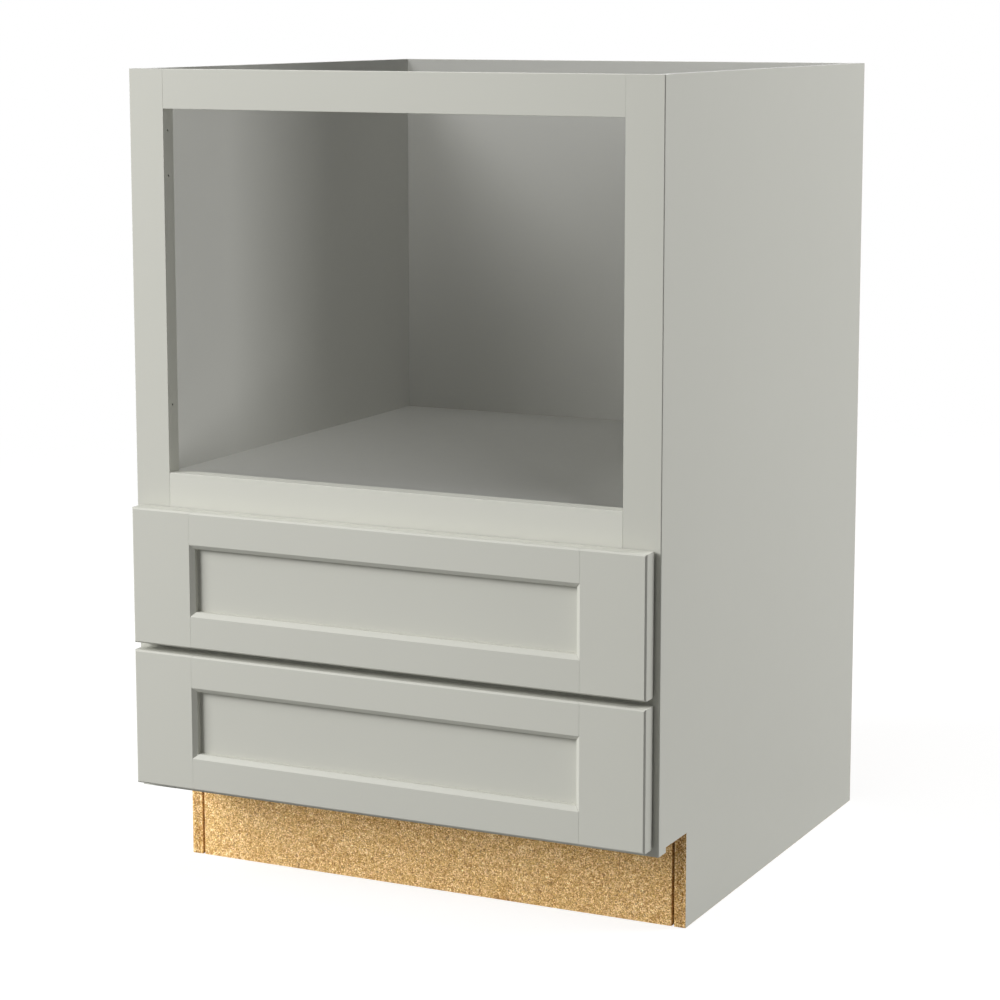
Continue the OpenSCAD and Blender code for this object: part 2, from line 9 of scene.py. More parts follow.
import bpy
import numpy as np
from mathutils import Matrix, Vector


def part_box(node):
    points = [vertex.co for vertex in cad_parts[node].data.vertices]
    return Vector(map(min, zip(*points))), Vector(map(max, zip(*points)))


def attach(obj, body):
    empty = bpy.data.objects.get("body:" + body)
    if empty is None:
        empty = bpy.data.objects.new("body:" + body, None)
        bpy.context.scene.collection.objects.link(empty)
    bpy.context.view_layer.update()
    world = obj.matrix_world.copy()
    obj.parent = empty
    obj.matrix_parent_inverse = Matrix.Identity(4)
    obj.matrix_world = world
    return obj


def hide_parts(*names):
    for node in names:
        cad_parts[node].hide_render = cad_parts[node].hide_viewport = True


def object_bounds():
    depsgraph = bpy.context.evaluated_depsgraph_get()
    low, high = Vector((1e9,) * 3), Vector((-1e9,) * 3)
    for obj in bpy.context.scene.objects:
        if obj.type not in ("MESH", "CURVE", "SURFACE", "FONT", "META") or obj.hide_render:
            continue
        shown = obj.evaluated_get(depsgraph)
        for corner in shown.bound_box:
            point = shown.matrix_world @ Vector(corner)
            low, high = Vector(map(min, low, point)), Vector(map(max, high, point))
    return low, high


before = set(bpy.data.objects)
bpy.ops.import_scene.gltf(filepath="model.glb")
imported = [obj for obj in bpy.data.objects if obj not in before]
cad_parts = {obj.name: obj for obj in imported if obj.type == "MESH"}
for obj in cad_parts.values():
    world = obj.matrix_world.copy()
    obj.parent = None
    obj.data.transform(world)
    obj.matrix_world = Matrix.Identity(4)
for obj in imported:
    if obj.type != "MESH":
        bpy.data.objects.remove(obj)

cad_low, cad_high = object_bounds()

# Places read from the frame
SIDE_LOW, SIDE_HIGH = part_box("side_panel_left")
BACK_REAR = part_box("back_panel")[1].y
SIDE_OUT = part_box("side_panel_right")[1].x
TOE_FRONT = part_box("toe_kick_board")[0].y
TOE_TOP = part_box("bottom_rail")[0].z
LEVELS = ("upper", "lower")
SIDES = ("left", "right")
SHELF_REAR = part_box("appliance_deck")[1].y
BRACE_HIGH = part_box("corner_braces")[1]

# The braces' slanted edge lies where y less the distance from the middle of the cabinet has this value
BRACE_SLANT = BRACE_HIGH.y - BRACE_HIGH.x

# How far a sawn face's colour reaches round its corner, and how far from the notch the laminate is chipped
SAWN_REACH = 0.0003
CHIPPED = 0.012

# The faces and the middle of the side panels' thickness, as distances from the middle of the cabinet
SIDE_REACH = SIDE_OUT - SAWN_REACH
SIDE_MIDDLE = (SIDE_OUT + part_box("side_panel_right")[0].x) / 2

# Size of the chips, of the hardboard's fibres, and half the thickness of a side panel's open middle layer
CHIP_SIZE = 0.0028
FIBRE_SIZE = 0.0012
CORE_HALF = 0.0042

# Surface colours, as display levels
PAINT = (203, 203, 194)
LAMINATE = (203, 203, 194)
# Painted shade: the inner faces get a slightly darker, less warm copy of the laminate
LAMINATE_SHADED_INSIDE = (201, 201, 196)
CHIP_PALE = (255, 222, 156)
CHIP_TAN = (214, 162, 94)
CHIP_DARK = (116, 72, 26)
HARDBOARD_PALE = (184, 150, 112)
HARDBOARD_TAN = (160, 124, 86)
HARDBOARD_DARK = (110, 78, 50)
BIRCH_PALE = (215, 191, 151)
BIRCH_DARK = (184, 151, 107)
ZINC = (168, 170, 174)
SCREW_ZINC = (176, 176, 178)
PLASTIC = (232, 232, 226)
BUMPER = (226, 227, 224)
FLOOR = (149, 149, 148)

# How strongly satin paint and matt lacquer reflect, where 0.5 is plain gloss paint
PAINT_SHINE = 0.25
LACQUER_SHINE = 0.2

# How much the paint's tone drifts on wood, on laminate and in moulded plastic
WOOD_DRIFT = 0.012
LAMINATE_DRIFT = 0.015
MOULDED_DRIFT = 0.03

# Size of the pebble in moulded plastic, width of birch's growth bands, and how far they wander
MOULDED_PEBBLE = 0.0009
BIRCH_BANDS = 0.022
SAWN_WANDER = 0.10
ROTARY_WANDER = 0.35

# Roughness of the zinc plate on slides and on screws
SLIDE_ROUGHNESS = 0.28
SCREW_ROUGHNESS = 0.34

# Noise counts per metre
TONE_PATCHES = 5.0
PAINT_SMUDGES = 60.0
PAINT_DUST = 1400.0
BOARD_CLOUDS = 35.0
BOARD_FIBRES = 900.0
GROWTH_DRIFT = 7.0
BAND_DRIFT = 24.0
WOOD_FIBRES = 620.0
WOOD_PORES = 1300.0
PLATE_CLOUDS = 40.0
PLATE_LINES = 700.0

# Powers of the tone level in red, green and blue, which make dark chips browner and pale ones creamier
WARMTH = (0.78, 1.1, 2.1)

# Depths of the bumps
PAINT_BUMP = 0.00004
LAMINATE_BUMP = 0.0002
CHIP_BUMP = 0.00025
BIRCH_BUMP = 0.00006
PLATE_BUMP = 0.000004
MOULDED_BUMP = 0.00005

# Shares of the finer height in a bump: dust in paint, grain under paint, film on laminate, fibres on chips
DUST_SHARE = 0.15
GRAIN_SHARE = 0.15
FILM_SHARE = 0.15
FIBRE_SHARE = 0.4

# Camera: place, turn about Z and dip below the horizon in degrees, focal length on a 36 mm sensor
CAMERA_PLACE = (1.333, -2.764, 0.941)
CAMERA_TURN = 25.99
CAMERA_DIP = 8.886
CAMERA_LENS = 99.9
CAMERA_SHIFT = -0.06


def linear(levels):
    """Display levels 0 to 255 as a linear colour with full alpha, by the sRGB curve."""
    shares = np.array(levels, float) / 255
    curve = np.where(shares <= 0.04045, shares / 12.92, ((shares + 0.055) / 1.055) ** 2.4)
    return (*curve.tolist(), 1.0)


class Shader:
    """Short calls that add nodes to one tree and join them."""

    def __init__(self, tree):
        self.tree = tree

    def node(self, kind, values=None, **settings):
        """Adds a node; values gives each named or numbered input a constant or another node's output."""
        made = self.tree.nodes.new("ShaderNode" + kind)
        for name, value in settings.items():
            setattr(made, name, value)
        for name, value in (values or {}).items():
            if isinstance(value, bpy.types.NodeSocket):
                self.tree.links.new(value, made.inputs[name])
            else:
                made.inputs[name].default_value = value
        return made

    def math(self, operation, a, b=0.0, clamp=False):
        return self.node("Math", {0: a, 1: b}, operation=operation, use_clamp=clamp).outputs[0]

    def times(self, a, b):
        return self.math("MULTIPLY", a, b)

    def plus(self, a, b, clamp=False):
        return self.math("ADD", a, b, clamp)

    def scaled(self, vector, scale):
        """The vector with each part multiplied."""
        return self.node("VectorMath", {0: vector, 1: scale}, operation="MULTIPLY").outputs[0]

    def noise(self, vector, scale, detail=2.0, roughness=0.5):
        return self.node("TexNoise", {"Vector": vector, "Scale": scale, "Detail": detail,
                                      "Roughness": roughness}).outputs["Fac"]

    def grey(self, level):
        return self.node("CombineColor", {0: level, 1: level, 2: level}).outputs[0]

    def mix(self, share, a, b, blend="MIX"):
        """The mix of two colours."""
        made = self.node("Mix", data_type="RGBA", blend_type=blend)
        for name, value in (("Factor_Float", share), ("A_Color", a), ("B_Color", b)):
            socket = next(s for s in made.inputs if s.identifier == name)
            if isinstance(value, bpy.types.NodeSocket):
                self.tree.links.new(value, socket)
            else:
                socket.default_value = value
        return next(s for s in made.outputs if s.identifier == "Result_Color")

    def mix_values(self, share, a, b):
        return self.node("Mix", {0: share, 2: a, 3: b}).outputs[0]

    def spread(self, value, low, high, new_low, new_high):
        """A value from one range carried to another, without going past its ends."""
        return self.node("MapRange", {"Value": value, "From Min": low, "From Max": high,
                                      "To Min": new_low, "To Max": new_high}).outputs["Result"]

    def from_noise(self, value, new_low, new_high):
        """A noise, whose values lie mostly between 0.3 and 0.7, carried to another range."""
        return self.spread(value, 0.3, 0.7, new_low, new_high)


def node_group(name, inputs):
    """A group with named inputs that gives a colour, a roughness and a height."""
    tree = bpy.data.node_groups.new(name, "ShaderNodeTree")
    for label, kind, default in inputs:
        socket = tree.interface.new_socket(label, in_out="INPUT", socket_type="NodeSocket" + kind)
        if default is not None:
            socket.default_value = default
    for label, kind in (("Color", "Color"), ("Roughness", "Float"), ("Height", "Float")):
        tree.interface.new_socket(label, in_out="OUTPUT", socket_type="NodeSocket" + kind)
    taken = tree.nodes.new("NodeGroupInput").outputs
    given = tree.nodes.new("NodeGroupOutput").inputs
    return tree, Shader(tree), taken, given


def give(tree, given, **results):
    """Joins each result to the group output of that name."""
    for name, socket in results.items():
        tree.links.new(socket, given[name])


def paint_film():
    """Sprayed satin paint: broad drift of the tone, fine pebble in the film, and smudges in the roughness."""
    tree, shader, taken, given = node_group("paint_film", [
        ("Coordinates", "Vector", None), ("Tone", "Color", (0.6, 0.6, 0.55, 1)), ("Drift", "Float", 0.03),
        ("Pebble size", "Float", 0.0025)])
    place = taken["Coordinates"]
    share = shader.from_noise(shader.noise(place, TONE_PATCHES, 3.0), 0.0, 1.0)
    darkest = shader.math("SUBTRACT", 1.0, taken["Drift"])
    level = shader.plus(darkest, shader.times(share, taken["Drift"]))
    tone = shader.mix(1.0, taken["Tone"], shader.grey(level), "MULTIPLY")
    pebble = shader.noise(place, shader.math("DIVIDE", 1.0, taken["Pebble size"]))
    dust = shader.noise(place, PAINT_DUST, 1.0)
    height = shader.plus(pebble, shader.times(dust, DUST_SHARE))
    roughness = shader.from_noise(shader.noise(place, PAINT_SMUDGES, 3.0), 0.43, 0.46)
    give(tree, given, Color=tone, Roughness=roughness, Height=height)
    return tree


def chip_board():
    """Pressed wood chips: short curled flakes with painted shade in the fine lines between them. Bark makes
    rare dark specks.

    The lines lie where a swayed noise n passes its middle, |2n - 1| near 0, and each patch of flakes has its
    own tone. Core is 1 in the open middle layer of a sawn edge, which is full of pits painted dark as shade.
    """
    tree, shader, taken, given = node_group("chip_board", [
        ("Coordinates", "Vector", None), ("Chip size", "Float", 0.002), ("Core", "Float", 0.0),
        ("Pale", "Color", (1, 1, 1, 1)), ("Tan", "Color", (0.6, 0.4, 0.2, 1)),
        ("Dark", "Color", (0.2, 0.1, 0.05, 1))])
    place = taken["Coordinates"]
    count = shader.math("DIVIDE", 1.0, taken["Chip size"])

    # Flakes, and painted shade in the fine lines between them
    curl = shader.node("TexNoise", {"Vector": place, "Scale": count, "Detail": 1.5, "Roughness": 0.55,
                                    "Distortion": 1.8}).outputs["Fac"]
    ridge = shader.math("ABSOLUTE", shader.math("SUBTRACT", shader.times(curl, 2.0), 1.0))
    line = shader.spread(ridge, 0.0, 0.09, 1.0, 0.0)
    patch = shader.node("TexVoronoi", {"Vector": place, "Scale": shader.times(count, 0.8)})
    own = shader.node("SeparateColor", {0: patch.outputs["Color"]}).outputs
    pale_share = shader.plus(shader.spread(ridge, 0.05, 0.19, -0.1, 1.0),
                             shader.spread(own[0], 0.0, 1.0, -0.3, 0.3), clamp=True)
    tone = shader.mix(pale_share, taken["Tan"], taken["Pale"])
    # Painted shade: the low lines between the flakes are darkened towards Dark
    tone = shader.mix(shader.times(line, 0.88), tone, taken["Dark"])

    # Bark specks in few patches, and painted shade in the pits of the open layer
    barked = shader.spread(own[1], 0.94, 0.96, 0.0, 0.7)
    bark_and_pit_shade = shader.times(barked, shader.spread(curl, 0.48, 0.56, 0.0, 1.0))
    pits = shader.spread(shader.noise(place, shader.times(count, 1.6), 1.0), 0.5, 0.62, 0.22, 1.0)
    # The pits of the open layer are painted shade, joined here to the Bark specks
    bark_and_pit_shade = shader.math("MAXIMUM", bark_and_pit_shade, shader.times(pits, shader.times(taken["Core"], 0.75)))
    tone = shader.mix(bark_and_pit_shade, tone, taken["Dark"])

    # Broad clouds and fine specks, warmer where they are dark
    speck = shader.noise(place, shader.times(count, 2.3), 1.0)
    cloud = shader.noise(place, BOARD_CLOUDS, 4.0)
    level = shader.times(shader.from_noise(cloud, 0.92, 1.04), shader.from_noise(speck, 0.52, 1.47))
    warm = shader.node("CombineColor", {part: shader.math("POWER", level, power)
                                        for part, power in enumerate(WARMTH)}).outputs[0]
    tone = shader.mix(1.0, tone, warm, "MULTIPLY")
    fibre = shader.noise(place, BOARD_FIBRES, 3.0)
    height = shader.plus(shader.spread(ridge, 0.0, 0.35, 0.0, 1.0), shader.times(fibre, FIBRE_SHARE))
    give(tree, given, Color=tone, Roughness=shader.from_noise(fibre, 0.75, 0.92), Height=height)
    return tree


def wood_grain():
    """Long grain along Z: growth bands that wander and vary in width, fine fibres, and short dark pores."""
    tree, shader, taken, given = node_group("wood_grain", [
        ("Coordinates", "Vector", None), ("Band width", "Float", 0.02), ("Wander", "Float", 0.12),
        ("Pale", "Color", (0.8, 0.6, 0.4, 1)), ("Dark", "Color", (0.5, 0.3, 0.15, 1))])
    place = taken["Coordinates"]

    def stretched(share):
        return shader.scaled(place, (1.0, 1.0, share))

    across = shader.node("SeparateXYZ", {0: place}).outputs
    reach = shader.plus(across[0], shader.times(across[1], 0.55))
    broad = shader.noise(stretched(0.12), GROWTH_DRIFT)
    reach = shader.plus(reach, shader.times(broad, taken["Wander"]))
    uneven = shader.times(shader.noise(stretched(0.05), BAND_DRIFT), 3.0)
    turns = shader.plus(shader.math("DIVIDE", reach, taken["Band width"]), uneven)
    bands = shader.math("SINE", shader.times(turns, 2 * math.pi))
    fibre = shader.noise(stretched(0.03), WOOD_FIBRES, 3.0, 0.6)
    pores = shader.noise(stretched(0.07), WOOD_PORES, 1.0)
    share = shader.plus(shader.spread(bands, -0.6, 1.0, 0.05, 0.42), shader.from_noise(fibre, -0.18, 0.32),
                        clamp=True)
    tone = shader.mix(share, taken["Pale"], taken["Dark"])
    tone = shader.mix(shader.spread(pores, 0.62, 0.72, 0.0, 0.4), tone, taken["Dark"])
    height = shader.math("SUBTRACT", fibre, shader.spread(pores, 0.6, 0.72, 0.0, 0.5))
    give(tree, given, Color=tone, Roughness=shader.from_noise(fibre, 0.36, 0.48), Height=height)
    return tree


def plate_skin():
    """Zinc plate on rolled sheet: faint cloudy tone and fine lines along Y."""
    tree, shader, taken, given = node_group("plate_skin", [
        ("Coordinates", "Vector", None), ("Tone", "Color", (0.6, 0.6, 0.6, 1)), ("Shine", "Float", 0.3)])
    place = taken["Coordinates"]
    cloud = shader.noise(place, PLATE_CLOUDS, 3.0)
    tone = shader.mix(1.0, taken["Tone"], shader.grey(shader.from_noise(cloud, 0.93, 1.0)), "MULTIPLY")
    lines = shader.noise(shader.scaled(place, (1.0, 0.02, 1.0)), PLATE_LINES)
    roughness = shader.plus(taken["Shine"], shader.from_noise(cloud, -0.02, 0.03))
    give(tree, given, Color=tone, Roughness=roughness, Height=lines)
    return tree


GROUPS = {make.__name__: make() for make in (paint_film, chip_board, wood_grain, plate_skin)}


class Finish:
    """A material with a Principled shader, built from effect groups placed on Object coordinates."""

    def __init__(self, name, **constants):
        self.material = bpy.data.materials.new(name)
        self.material.use_nodes = True
        tree = self.material.node_tree
        tree.nodes.clear()
        self.shader = Shader(tree)
        self.place = self.shader.node("TexCoord").outputs["Object"]
        self.skin = self.shader.node("BsdfPrincipled", {label.replace("_", " "): value for label, value
                                                        in constants.items()})
        output = self.shader.node("OutputMaterial")
        tree.links.new(self.skin.outputs[0], output.inputs["Surface"])

    def effect(self, group, values=None, turn=(0, 0, 0)):
        """Places a group, with its coordinates turned; returns its outputs."""
        place = self.place
        if any(turn):
            place = self.shader.node("Mapping", {"Vector": place, "Rotation": turn}).outputs[0]
        made = self.shader.node("Group", {"Coordinates": place, **(values or {})}, node_tree=GROUPS[group])
        return made.outputs

    def wear(self, colour, roughness, height, depth):
        """Joins colour, roughness and a bump of the given depth to the shader; returns the material."""
        bump = self.shader.node("Bump", {"Strength": 1.0, "Distance": depth, "Height": height})
        for name, socket in (("Base Color", colour), ("Roughness", roughness), ("Normal", bump.outputs[0])):
            self.shader.tree.links.new(socket, self.skin.inputs[name])
        return self.material

    def wear_effect(self, outputs, depth):
        """Joins the outputs of one effect as they are."""
        return self.wear(outputs["Color"], outputs["Roughness"], outputs["Height"], depth)


# Turns that lay the grain, which runs along Z in its group, along each axis
TURNS = {"x": (0, math.pi / 2, 0), "y": (math.pi / 2, 0, 0), "z": (0, 0, 0)}

# Size and tones of the two pressed boards
CHIPS = (CHIP_SIZE, CHIP_PALE, CHIP_TAN, CHIP_DARK)
HARDBOARD = (FIBRE_SIZE, HARDBOARD_PALE, HARDBOARD_TAN, HARDBOARD_DARK)


def painted_wood(along):
    """Satin paint on solid wood, with the grain just telling through it."""
    finish = Finish("satin_paint_on_wood_" + along, Specular_IOR_Level=PAINT_SHINE)
    film = finish.effect("paint_film", {"Tone": linear(PAINT), "Drift": WOOD_DRIFT})
    grain = finish.effect("wood_grain", {}, TURNS[along])
    height = finish.shader.plus(film["Height"], finish.shader.times(grain["Height"], GRAIN_SHARE))
    return finish.wear(film["Color"], film["Roughness"], height, PAINT_BUMP)


def chips(finish, core=0.0, kind=CHIPS):
    """The outputs of chip board, or of the finer hardboard."""
    size, pale, tan, dark = kind
    return finish.effect("chip_board", {"Chip size": size, "Core": core, "Pale": linear(pale),
                                        "Tan": linear(tan), "Dark": linear(dark)})


def laminated_board(name, sawn, inside, kind=CHIPS):
    """Paint-coloured laminate on a pressed board.

    The raw core shows where sawn is 1. Where inside is 1, a slightly darker and less warm copy of the
    laminate shows, as painted shade for the inner faces. Both are built from tests of an Object coordinate
    against a limit, where slant is y less the distance from the middle.
    """
    finish = Finish(name, Specular_IOR_Level=PAINT_SHINE)
    shader = finish.shader
    parts = dict(zip("xyz", shader.node("SeparateXYZ", {0: finish.place}).outputs))
    from_middle = shader.math("ABSOLUTE", parts["x"])
    parts["slant"] = shader.math("SUBTRACT", parts["y"], from_middle)

    def past(axis, limit):
        return shader.math("GREATER_THAN", parts[axis], limit)

    def short_of(axis, limit):
        return shader.math("LESS_THAN", parts[axis], limit)

    tone = shader.mix(inside(shader, past, short_of), linear(LAMINATE), linear(LAMINATE_SHADED_INSIDE))
    film = finish.effect("paint_film", {"Tone": tone, "Drift": LAMINATE_DRIFT})
    off_core = shader.math("ABSOLUTE", shader.math("SUBTRACT", from_middle, SIDE_MIDDLE))
    board = chips(finish, shader.spread(off_core, CORE_HALF, 0.8 * CORE_HALF, 0.0, 1.0), kind)
    raw = sawn(shader, past, short_of)
    colour = shader.mix(raw, film["Color"], board["Color"])
    roughness = shader.mix_values(raw, film["Roughness"], board["Roughness"])
    height = shader.mix_values(raw, shader.times(film["Height"], FILM_SHARE), board["Height"])
    return finish.wear(colour, roughness, height, LAMINATE_BUMP)


def side_sawn(shader, past, short_of):
    """The side panels' foot, rear edge and the two faces of the toe notch; the top edge is banded.

    The saw also chipped the laminate off the inner face along the notch.
    """
    notch = shader.times(short_of("y", TOE_FRONT + SAWN_REACH), short_of("z", TOE_TOP + SAWN_REACH))
    chipped = shader.times(short_of("y", TOE_FRONT + CHIPPED), short_of("z", TOE_TOP))
    chipped = shader.times(chipped, side_inside(shader, past, short_of))
    foot = short_of("z", SIDE_LOW.z + SAWN_REACH)
    ends = shader.math("MAXIMUM", foot, past("y", SIDE_HIGH.y - SAWN_REACH))
    return shader.math("MAXIMUM", shader.math("MAXIMUM", notch, chipped), ends)


def side_inside(shader, past, short_of):
    """The faces of the two side panels that look at each other."""
    return shader.times(short_of("x", SIDE_REACH), past("x", -SIDE_REACH))


def board_inside(shader, past, short_of):
    """All but the back panel's rear face."""
    return short_of("y", BACK_REAR - SAWN_REACH)


def back_sawn(shader, past, short_of):
    """The back panel's bare rear face."""
    return past("y", BACK_REAR - SAWN_REACH)


def shelf_sawn(shader, past, short_of):
    """The shelf boards' bare rear edge."""
    return past("y", SHELF_REAR - SAWN_REACH)


def rail_sawn(shader, past, short_of):
    """A hang rail, bare but for its banded top edge."""
    return short_of("z", SIDE_HIGH.z - SAWN_REACH)


def brace_sawn(shader, past, short_of):
    """The slanted edge of the corner braces."""
    return past("slant", BRACE_SLANT - SAWN_REACH)


def nowhere(shader, past, short_of):
    """No place on the cabinet, since the limit is above it."""
    return past("z", 2 * SIDE_HIGH.z)


def raw_board():
    """Chip board without laminate."""
    finish = Finish("raw_chip_board")
    return finish.wear_effect(chips(finish), CHIP_BUMP)


def birch(name, along, wander):
    """Birch under a thin matt lacquer, grained along an axis; a wide wander is rotary-cut plywood."""
    finish = Finish(name, Specular_IOR_Level=LACQUER_SHINE)
    tones = {"Pale": linear(BIRCH_PALE), "Dark": linear(BIRCH_DARK)}
    grain = finish.effect("wood_grain", {"Band width": BIRCH_BANDS, "Wander": wander, **tones}, TURNS[along])
    return finish.wear_effect(grain, BIRCH_BUMP)


def plated(name, levels, shine):
    """Zinc-plated steel, whose roughness is near shine."""
    finish = Finish(name, Metallic=1.0)
    skin = finish.effect("plate_skin", {"Tone": linear(levels), "Shine": shine})
    return finish.wear_effect(skin, PLATE_BUMP)


def moulded(name, levels):
    """Moulded plastic or rubber with a fine pebbled skin."""
    finish = Finish(name)
    film = finish.effect("paint_film", {"Tone": linear(levels), "Drift": MOULDED_DRIFT,
                                        "Pebble size": MOULDED_PEBBLE})
    return finish.wear_effect(film, MOULDED_BUMP)


PAINTED = {along: painted_wood(along) for along in "xz"}
BIRCH = {along: birch("lacquered_birch_" + along, along, SAWN_WANDER) for along in "xy"}
BIRCH_PLY = birch("birch_plywood", "x", ROTARY_WANDER)
SIDE_BOARD = laminated_board("laminated_side", side_sawn, side_inside)
BACK_BOARD = laminated_board("laminated_back", back_sawn, board_inside, HARDBOARD)
SHELF_BOARD = laminated_board("laminated_shelf", shelf_sawn, board_inside)
RAIL_BOARD = laminated_board("banded_rail", rail_sawn, nowhere)
BRACE_BOARD = laminated_board("laminated_brace", brace_sawn, nowhere)
RAW_BOARD = raw_board()
SLIDE_STEEL = plated("bright_zinc_slide", ZINC, SLIDE_ROUGHNESS)
SCREW_STEEL = plated("zinc_screw", SCREW_ZINC, SCREW_ROUGHNESS)
BRACKET_PLASTIC = moulded("moulded_bracket", PLASTIC)
BUMPER_RUBBER = moulded("soft_bumper", BUMPER)

# Widths of the eased edges; a sharp piece gets no modifiers
SHARP = 0.0
LAMINATE_EDGE = 0.0002
SAWN_EDGE = 0.0003
BLOCK_EDGE = 0.0004
FRONT_EDGE = 0.0004
FRAME_EDGE = 0.0005
BOX_EDGE = 0.0006

# Each node's finish and the width of its eased edges
CASE_FINISH = {
    "side_panel_left": (SIDE_BOARD, LAMINATE_EDGE), "side_panel_right": (SIDE_BOARD, LAMINATE_EDGE),
    "back_panel": (BACK_BOARD, LAMINATE_EDGE), "cabinet_floor": (SHELF_BOARD, LAMINATE_EDGE),
    "appliance_deck": (SHELF_BOARD, LAMINATE_EDGE), "hang_rail_top": (RAIL_BOARD, SAWN_EDGE),
    "hang_rail_bottom": (RAW_BOARD, SAWN_EDGE), "toe_kick_board": (RAW_BOARD, SAWN_EDGE),
    "toe_blocks": (RAW_BOARD, BLOCK_EDGE), "corner_braces": (BRACE_BOARD, BLOCK_EDGE),
    "stile_left": (PAINTED["z"], FRAME_EDGE), "stile_right": (PAINTED["z"], FRAME_EDGE),
    "top_rail": (PAINTED["x"], FRAME_EDGE), "opening_rail": (PAINTED["x"], FRAME_EDGE),
    "drawer_rail": (PAINTED["x"], FRAME_EDGE), "bottom_rail": (PAINTED["x"], FRAME_EDGE),
    "rear_slide_brackets": (BRACKET_PLASTIC, SAWN_EDGE), "slide_mount_screws": (SCREW_STEEL, SHARP),
}
DRAWER_FINISH = {
    "front_stile_left": (PAINTED["z"], FRONT_EDGE), "front_stile_right": (PAINTED["z"], FRONT_EDGE),
    "front_rail_top": (PAINTED["x"], FRONT_EDGE), "front_rail_bottom": (PAINTED["x"], FRONT_EDGE),
    "front_panel": (PAINTED["x"], SHARP), "box_bottom": (BIRCH_PLY, SHARP),
    "box_front": (BIRCH["x"], BOX_EDGE), "box_back": (BIRCH["x"], BOX_EDGE),
    "box_side_left": (BIRCH["y"], BOX_EDGE), "box_side_right": (BIRCH["y"], BOX_EDGE),
    "front_screws": (SCREW_STEEL, SHARP),
    "slide_screws": (SCREW_STEEL, SHARP), "bumpers": (BUMPER_RUBBER, BLOCK_EDGE),
    "outer_ball_cages": (SLIDE_STEEL, SHARP), "inner_ball_cages": (SLIDE_STEEL, SHARP),
    **{f"{side}_{member}_slide": (SLIDE_STEEL, SHARP)
       for side in SIDES for member in ("outer", "middle", "inner")},
}


def ease(piece, width):
    """Joins a CAD mesh's loose triangles into flat faces and rounds its corners by modifiers."""
    weld = piece.modifiers.new("weld", "WELD")
    weld.merge_threshold = 1e-6
    flats = piece.modifiers.new("flats", "DECIMATE")
    flats.decimate_type = "DISSOLVE"
    flats.angle_limit = math.radians(0.5)
    round_off = piece.modifiers.new("eased_edges", "BEVEL")
    round_off.width = width
    round_off.segments = 2
    round_off.limit_method = "ANGLE"
    round_off.angle_limit = math.radians(28)
    normals = piece.modifiers.new("normals", "WEIGHTED_NORMAL")
    normals.keep_sharp = False


def dress(node, finish, width):
    """Gives a CAD node its finish and eased edges."""
    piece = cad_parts[node]
    piece.data.materials.clear()
    piece.data.materials.append(finish)
    if width:
        ease(piece, width)


for node, (finish, width) in CASE_FINISH.items():
    dress(node, finish, width)
for level in LEVELS:
    for node, (finish, width) in DRAWER_FINISH.items():
        dress(f"{level}_{node}", finish, width)


# The cross recess of a screw: half the width of an arm, its reach, depth, and the width of its sloped edge
RECESS_HALF = 0.00042
RECESS_REACH = 0.0019
RECESS_DEPTH = 0.0011
RECESS_EDGE = 0.0003

# Rings and steps of a screw head's surface
HEAD_RINGS = 15
HEAD_STEPS = 48

# Staples: radius of the wire, width of the crown, distances from a rail's ends and edges, number in a row
WIRE = 0.00065
CROWN = 0.0115
STAPLE_INSET = 0.04
STAPLE_MARGIN = 0.018
STAPLE_COUNT = 6


def islands(node):
    """The mesh points of each loose solid in a node.

    Points at one place share a label, every triangle gives its points the lowest of their labels, and this
    is repeated until no label changes.
    """
    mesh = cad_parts[node].data
    points = np.empty(3 * len(mesh.vertices))
    mesh.vertices.foreach_get("co", points)
    points = points.reshape(-1, 3)
    corners = np.empty(3 * len(mesh.polygons), int)
    mesh.polygons.foreach_get("vertices", corners)
    _, same = np.unique(np.round(points, 6), axis=0, return_inverse=True)
    same = same.ravel()
    triangles = same[corners].reshape(-1, 3)
    labels = np.arange(same.max() + 1)
    while True:
        lowest = labels[triangles].min(1)
        changed = labels.copy()
        np.minimum.at(changed, triangles.ravel(), np.repeat(lowest, 3))
        if (changed == labels).all():
            break
        labels = changed
    own = labels[same]
    return [points[own == label] for label in np.unique(own)]


def inside_recess(room):
    """From 0 to 1 over the width of the recess's sloped edge, with 0.5 where no room is left."""
    return np.clip(room / RECESS_EDGE + 0.5, 0, 1)


def screw_surface(head_radius, head_height, shank_radius, length):
    """A pan-head screw along Z with its seat at z = 0 and its point at z = -length, as rings of points.

    The head's top is z = h (1 - 0.5 (r/R)^4) less the cross recess, whose depth is D a(w - min(|x|, |y|))
    a(L - max(|x|, |y|)), with a the function inside_recess. The rim, the seat, the shank and the cone of
    the point close it.
    """
    spin = np.linspace(0, 2 * np.pi, HEAD_STEPS, endpoint=False)
    reach = np.linspace(0.02, 1.0, HEAD_RINGS)[:, None] * head_radius
    x, y = reach * np.cos(spin), reach * np.sin(spin)
    near = np.minimum(np.abs(x), np.abs(y))
    far = np.maximum(np.abs(x), np.abs(y))
    crown = head_height * (1 - 0.5 * (reach / head_radius) ** 4)
    z = crown - RECESS_DEPTH * inside_recess(RECESS_HALF - near) * inside_recess(RECESS_REACH - far)
    rings = [np.stack([x, y, z], 2)]
    rim = (head_radius, 0.12 * head_height)
    seat = (0.96 * head_radius, 0.0)
    neck = (shank_radius, 0.0)
    cone = (shank_radius, -0.8 * length)
    point = (0.1 * shank_radius, -length)
    for radius, level in (rim, seat, neck, cone, point):
        ring = [radius * np.cos(spin), radius * np.sin(spin), np.full(HEAD_STEPS, level)]
        rings.append(np.stack(ring, 1)[None])
    return np.concatenate(rings)


